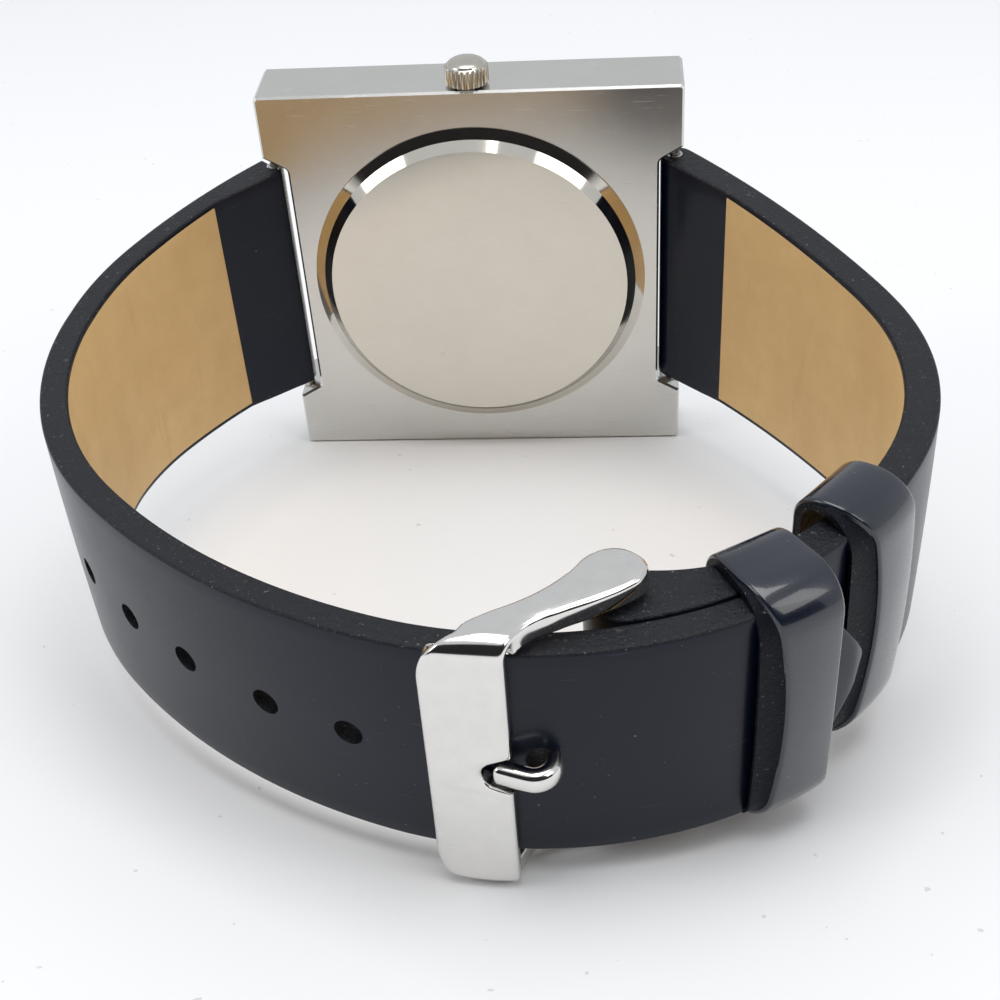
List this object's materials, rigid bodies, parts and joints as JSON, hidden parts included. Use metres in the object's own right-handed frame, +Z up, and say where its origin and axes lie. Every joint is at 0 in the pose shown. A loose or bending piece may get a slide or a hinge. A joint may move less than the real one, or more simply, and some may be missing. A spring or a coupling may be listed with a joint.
{
  "type": "square wristwatch",
  "caption": "Square steel wristwatch on a black leather strap, buckled into a loop, with a quartz movement, sprung bars, keepers and a wide polished buckle.",
  "frame": {"origin": "centre of the case's lower side face, on which the watch stands", "axes": "+Z up towards the crown, +Y the way the dial faces, +X towards twelve o'clock"},
  "size_m": [0.0711, 0.0707, 0.0414],
  "materials": {
    "case_steel": "satin",
    "polished_steel": "polished",
    "movement_brass": "satin",
    "movement_steel": "brushed",
    "coil_copper": "enamelled wire",
    "board_green": "laminate",
    "chip_black": "moulded",
    "ring_white": "moulded",
    "crystal_glass": "polished",
    "gasket_rubber": "matt",
    "dial_paint": "satin black",
    "black_leather": "smooth gloss",
    "tan_lining": "smooth natural"
  },
  "bodies": {
    "watch": {"case_middle": "case_steel", "case_back": "case_steel", "case_back_gasket": "gasket_rubber", "crystal": "crystal_glass", "crystal_gasket": "gasket_rubber", "crown_tube": "case_steel", "dial_ring": "case_steel", "dial": "dial_paint", "dial_indices": "polished_steel", "movement_ring": "ring_white", "main_plate": "movement_brass", "train_bridge": "movement_steel", "bridge_screws": "movement_steel", "setting_cover": "movement_steel", "battery": "movement_steel", "battery_clamp": "movement_steel", "circuit_board": "board_green", "circuit_chip": "chip_black", "quartz_can": "movement_steel", "stator": "movement_steel", "coil_core": "movement_steel", "coil_winding": "coil_copper", "lug_bar_tubes": "movement_steel", "buckle_bar_tube": "movement_steel", "strap_long_leather": "black_leather", "strap_long_lining": "tan_lining", "strap_short_leather": "black_leather", "strap_short_lining": "tan_lining", "fixed_keeper": "black_leather"},
    "stem": {"stem": "movement_steel"},
    "crown": {"crown": "polished_steel", "crown_gasket": "gasket_rubber"},
    "clutch": {"clutch_wheel": "movement_steel"},
    "setting_lever": {"setting_lever": "movement_steel"},
    "yoke": {"yoke": "movement_steel"},
    "seconds": {"second_wheel": "movement_brass", "second_hand": "polished_steel"},
    "minutes": {"centre_wheel": "movement_brass", "minute_hand": "polished_steel"},
    "hours": {"hour_wheel": "movement_brass", "hour_hand": "polished_steel"},
    "third_wheel": {"third_wheel": "movement_brass"},
    "intermediate_wheel": {"intermediate_wheel": "movement_brass"},
    "rotor": {"rotor": "movement_steel"},
    "minute_wheel": {"minute_wheel": "movement_brass"},
    "buckle": {"buckle_frame": "polished_steel"},
    "tang": {"tang": "polished_steel"},
    "free_keeper": {"free_keeper": "black_leather"},
    "lug_pin_right_top": {"lug_pin_right_top": "movement_steel"},
    "lug_pin_right_bottom": {"lug_pin_right_bottom": "movement_steel"},
    "lug_pin_left_top": {"lug_pin_left_top": "movement_steel"},
    "lug_pin_left_bottom": {"lug_pin_left_bottom": "movement_steel"},
    "buckle_pin_top": {"buckle_pin_top": "movement_steel"},
    "buckle_pin_bottom": {"buckle_pin_bottom": "movement_steel"}
  },
  "joints": [
    {"name": "crown_pull", "type": "slide", "parent": "watch", "child": "stem", "axis": [0, 0, 1], "range_m": [0, 0.001]},
    {"name": "crown_turn", "type": "hinge", "parent": "stem", "child": "crown", "pos_m": [0, -0.0017, 0.04], "axis": [0, 0, 1], "continuous": true},
    {"name": "clutch_slide", "type": "slide", "parent": "watch", "child": "clutch", "axis": [0, 0, 1], "range_m": [-0.0006, 0]},
    {"name": "setting_lever_swing", "type": "hinge", "parent": "watch", "child": "setting_lever", "pos_m": [0.003, -0.0023, 0.0281], "axis": [0, 1, 0], "range_deg": [0, 19.1]},
    {"name": "yoke_swing", "type": "hinge", "parent": "watch", "child": "yoke", "pos_m": [-0.003, -0.0023, 0.0257], "axis": [0, 1, 0], "range_deg": [0, 11.5]},
    {"name": "seconds_turn", "type": "hinge", "parent": "watch", "child": "seconds", "pos_m": [0, -0.0023, 0.0195], "axis": [0, -1, 0], "continuous": true},
    {"name": "minutes_turn", "type": "hinge", "parent": "watch", "child": "minutes", "pos_m": [0, -0.0023, 0.0195], "axis": [0, -1, 0], "continuous": true},
    {"name": "hours_turn", "type": "hinge", "parent": "watch", "child": "hours", "pos_m": [0, -0.0023, 0.0195], "axis": [0, -1, 0], "continuous": true},
    {"name": "third_wheel_turn", "type": "hinge", "parent": "watch", "child": "third_wheel", "pos_m": [-0.00234, -0.0023, 0.02085], "axis": [0, -1, 0], "continuous": true},
    {"name": "intermediate_wheel_turn", "type": "hinge", "parent": "watch", "child": "intermediate_wheel", "pos_m": [0.00261, -0.0023, 0.0188], "axis": [0, -1, 0], "continuous": true},
    {"name": "rotor_turn", "type": "hinge", "parent": "watch", "child": "rotor", "pos_m": [0.00447, -0.0023, 0.01847], "axis": [0, -1, 0], "continuous": true},
    {"name": "minute_wheel_turn", "type": "hinge", "parent": "watch", "child": "minute_wheel", "pos_m": [0, -0.0023, 0.0219], "axis": [0, -1, 0], "continuous": true},
    {"name": "buckle_swing", "type": "hinge", "parent": "watch", "child": "buckle", "pos_m": [0.01335, -0.05903, 0.0195], "axis": [0, 0, 1], "range_deg": [0, 3]},
    {"name": "tang_swing", "type": "hinge", "parent": "watch", "child": "tang", "pos_m": [0.01335, -0.05903, 0.0195], "axis": [0, 0, 1], "range_deg": [0, 3]},
    {"name": "free_keeper_slide", "type": "hinge", "parent": "watch", "child": "free_keeper", "pos_m": [0.0072, -0.0313, 0.0195], "axis": [0, 0, 1], "range_deg": [0, 10]},
    {"name": "lug_pin_right_top_push", "type": "slide", "parent": "watch", "child": "lug_pin_right_top", "axis": [0, 0, -1], "range_m": [0, 0.001], "stiffness_N_per_m": 200, "springref_m": -0.002},
    {"name": "lug_pin_right_bottom_push", "type": "slide", "parent": "watch", "child": "lug_pin_right_bottom", "axis": [0, 0, 1], "range_m": [0, 0.001], "stiffness_N_per_m": 200, "springref_m": -0.002},
    {"name": "lug_pin_left_top_push", "type": "slide", "parent": "watch", "child": "lug_pin_left_top", "axis": [0, 0, -1], "range_m": [0, 0.001], "stiffness_N_per_m": 200, "springref_m": -0.002},
    {"name": "lug_pin_left_bottom_push", "type": "slide", "parent": "watch", "child": "lug_pin_left_bottom", "axis": [0, 0, 1], "range_m": [0, 0.001], "stiffness_N_per_m": 200, "springref_m": -0.002},
    {"name": "buckle_pin_top_push", "type": "slide", "parent": "watch", "child": "buckle_pin_top", "axis": [0, 0, -1], "range_m": [0, 0.001], "stiffness_N_per_m": 200, "springref_m": -0.002},
    {"name": "buckle_pin_bottom_push", "type": "slide", "parent": "watch", "child": "buckle_pin_bottom", "axis": [0, 0, 1], "range_m": [0, 0.001], "stiffness_N_per_m": 200, "springref_m": -0.002}
  ],
  "couplings": [
    {"joint": "clutch_slide", "follows": "crown_pull", "ratio": -0.6},
    {"joint": "setting_lever_swing", "follows": "crown_pull", "rad_per_m": 333},
    {"joint": "yoke_swing", "follows": "crown_pull", "rad_per_m": 200},
    {"joint": "seconds_turn", "follows": "minutes_turn", "ratio": 60},
    {"joint": "hours_turn", "follows": "minutes_turn", "ratio": 0.083333},
    {"joint": "third_wheel_turn", "follows": "minutes_turn", "ratio": -7.5},
    {"joint": "intermediate_wheel_turn", "follows": "minutes_turn", "ratio": -300},
    {"joint": "rotor_turn", "follows": "minutes_turn", "ratio": 1800},
    {"joint": "minute_wheel_turn", "follows": "minutes_turn", "ratio": -0.33333}
  ]
}
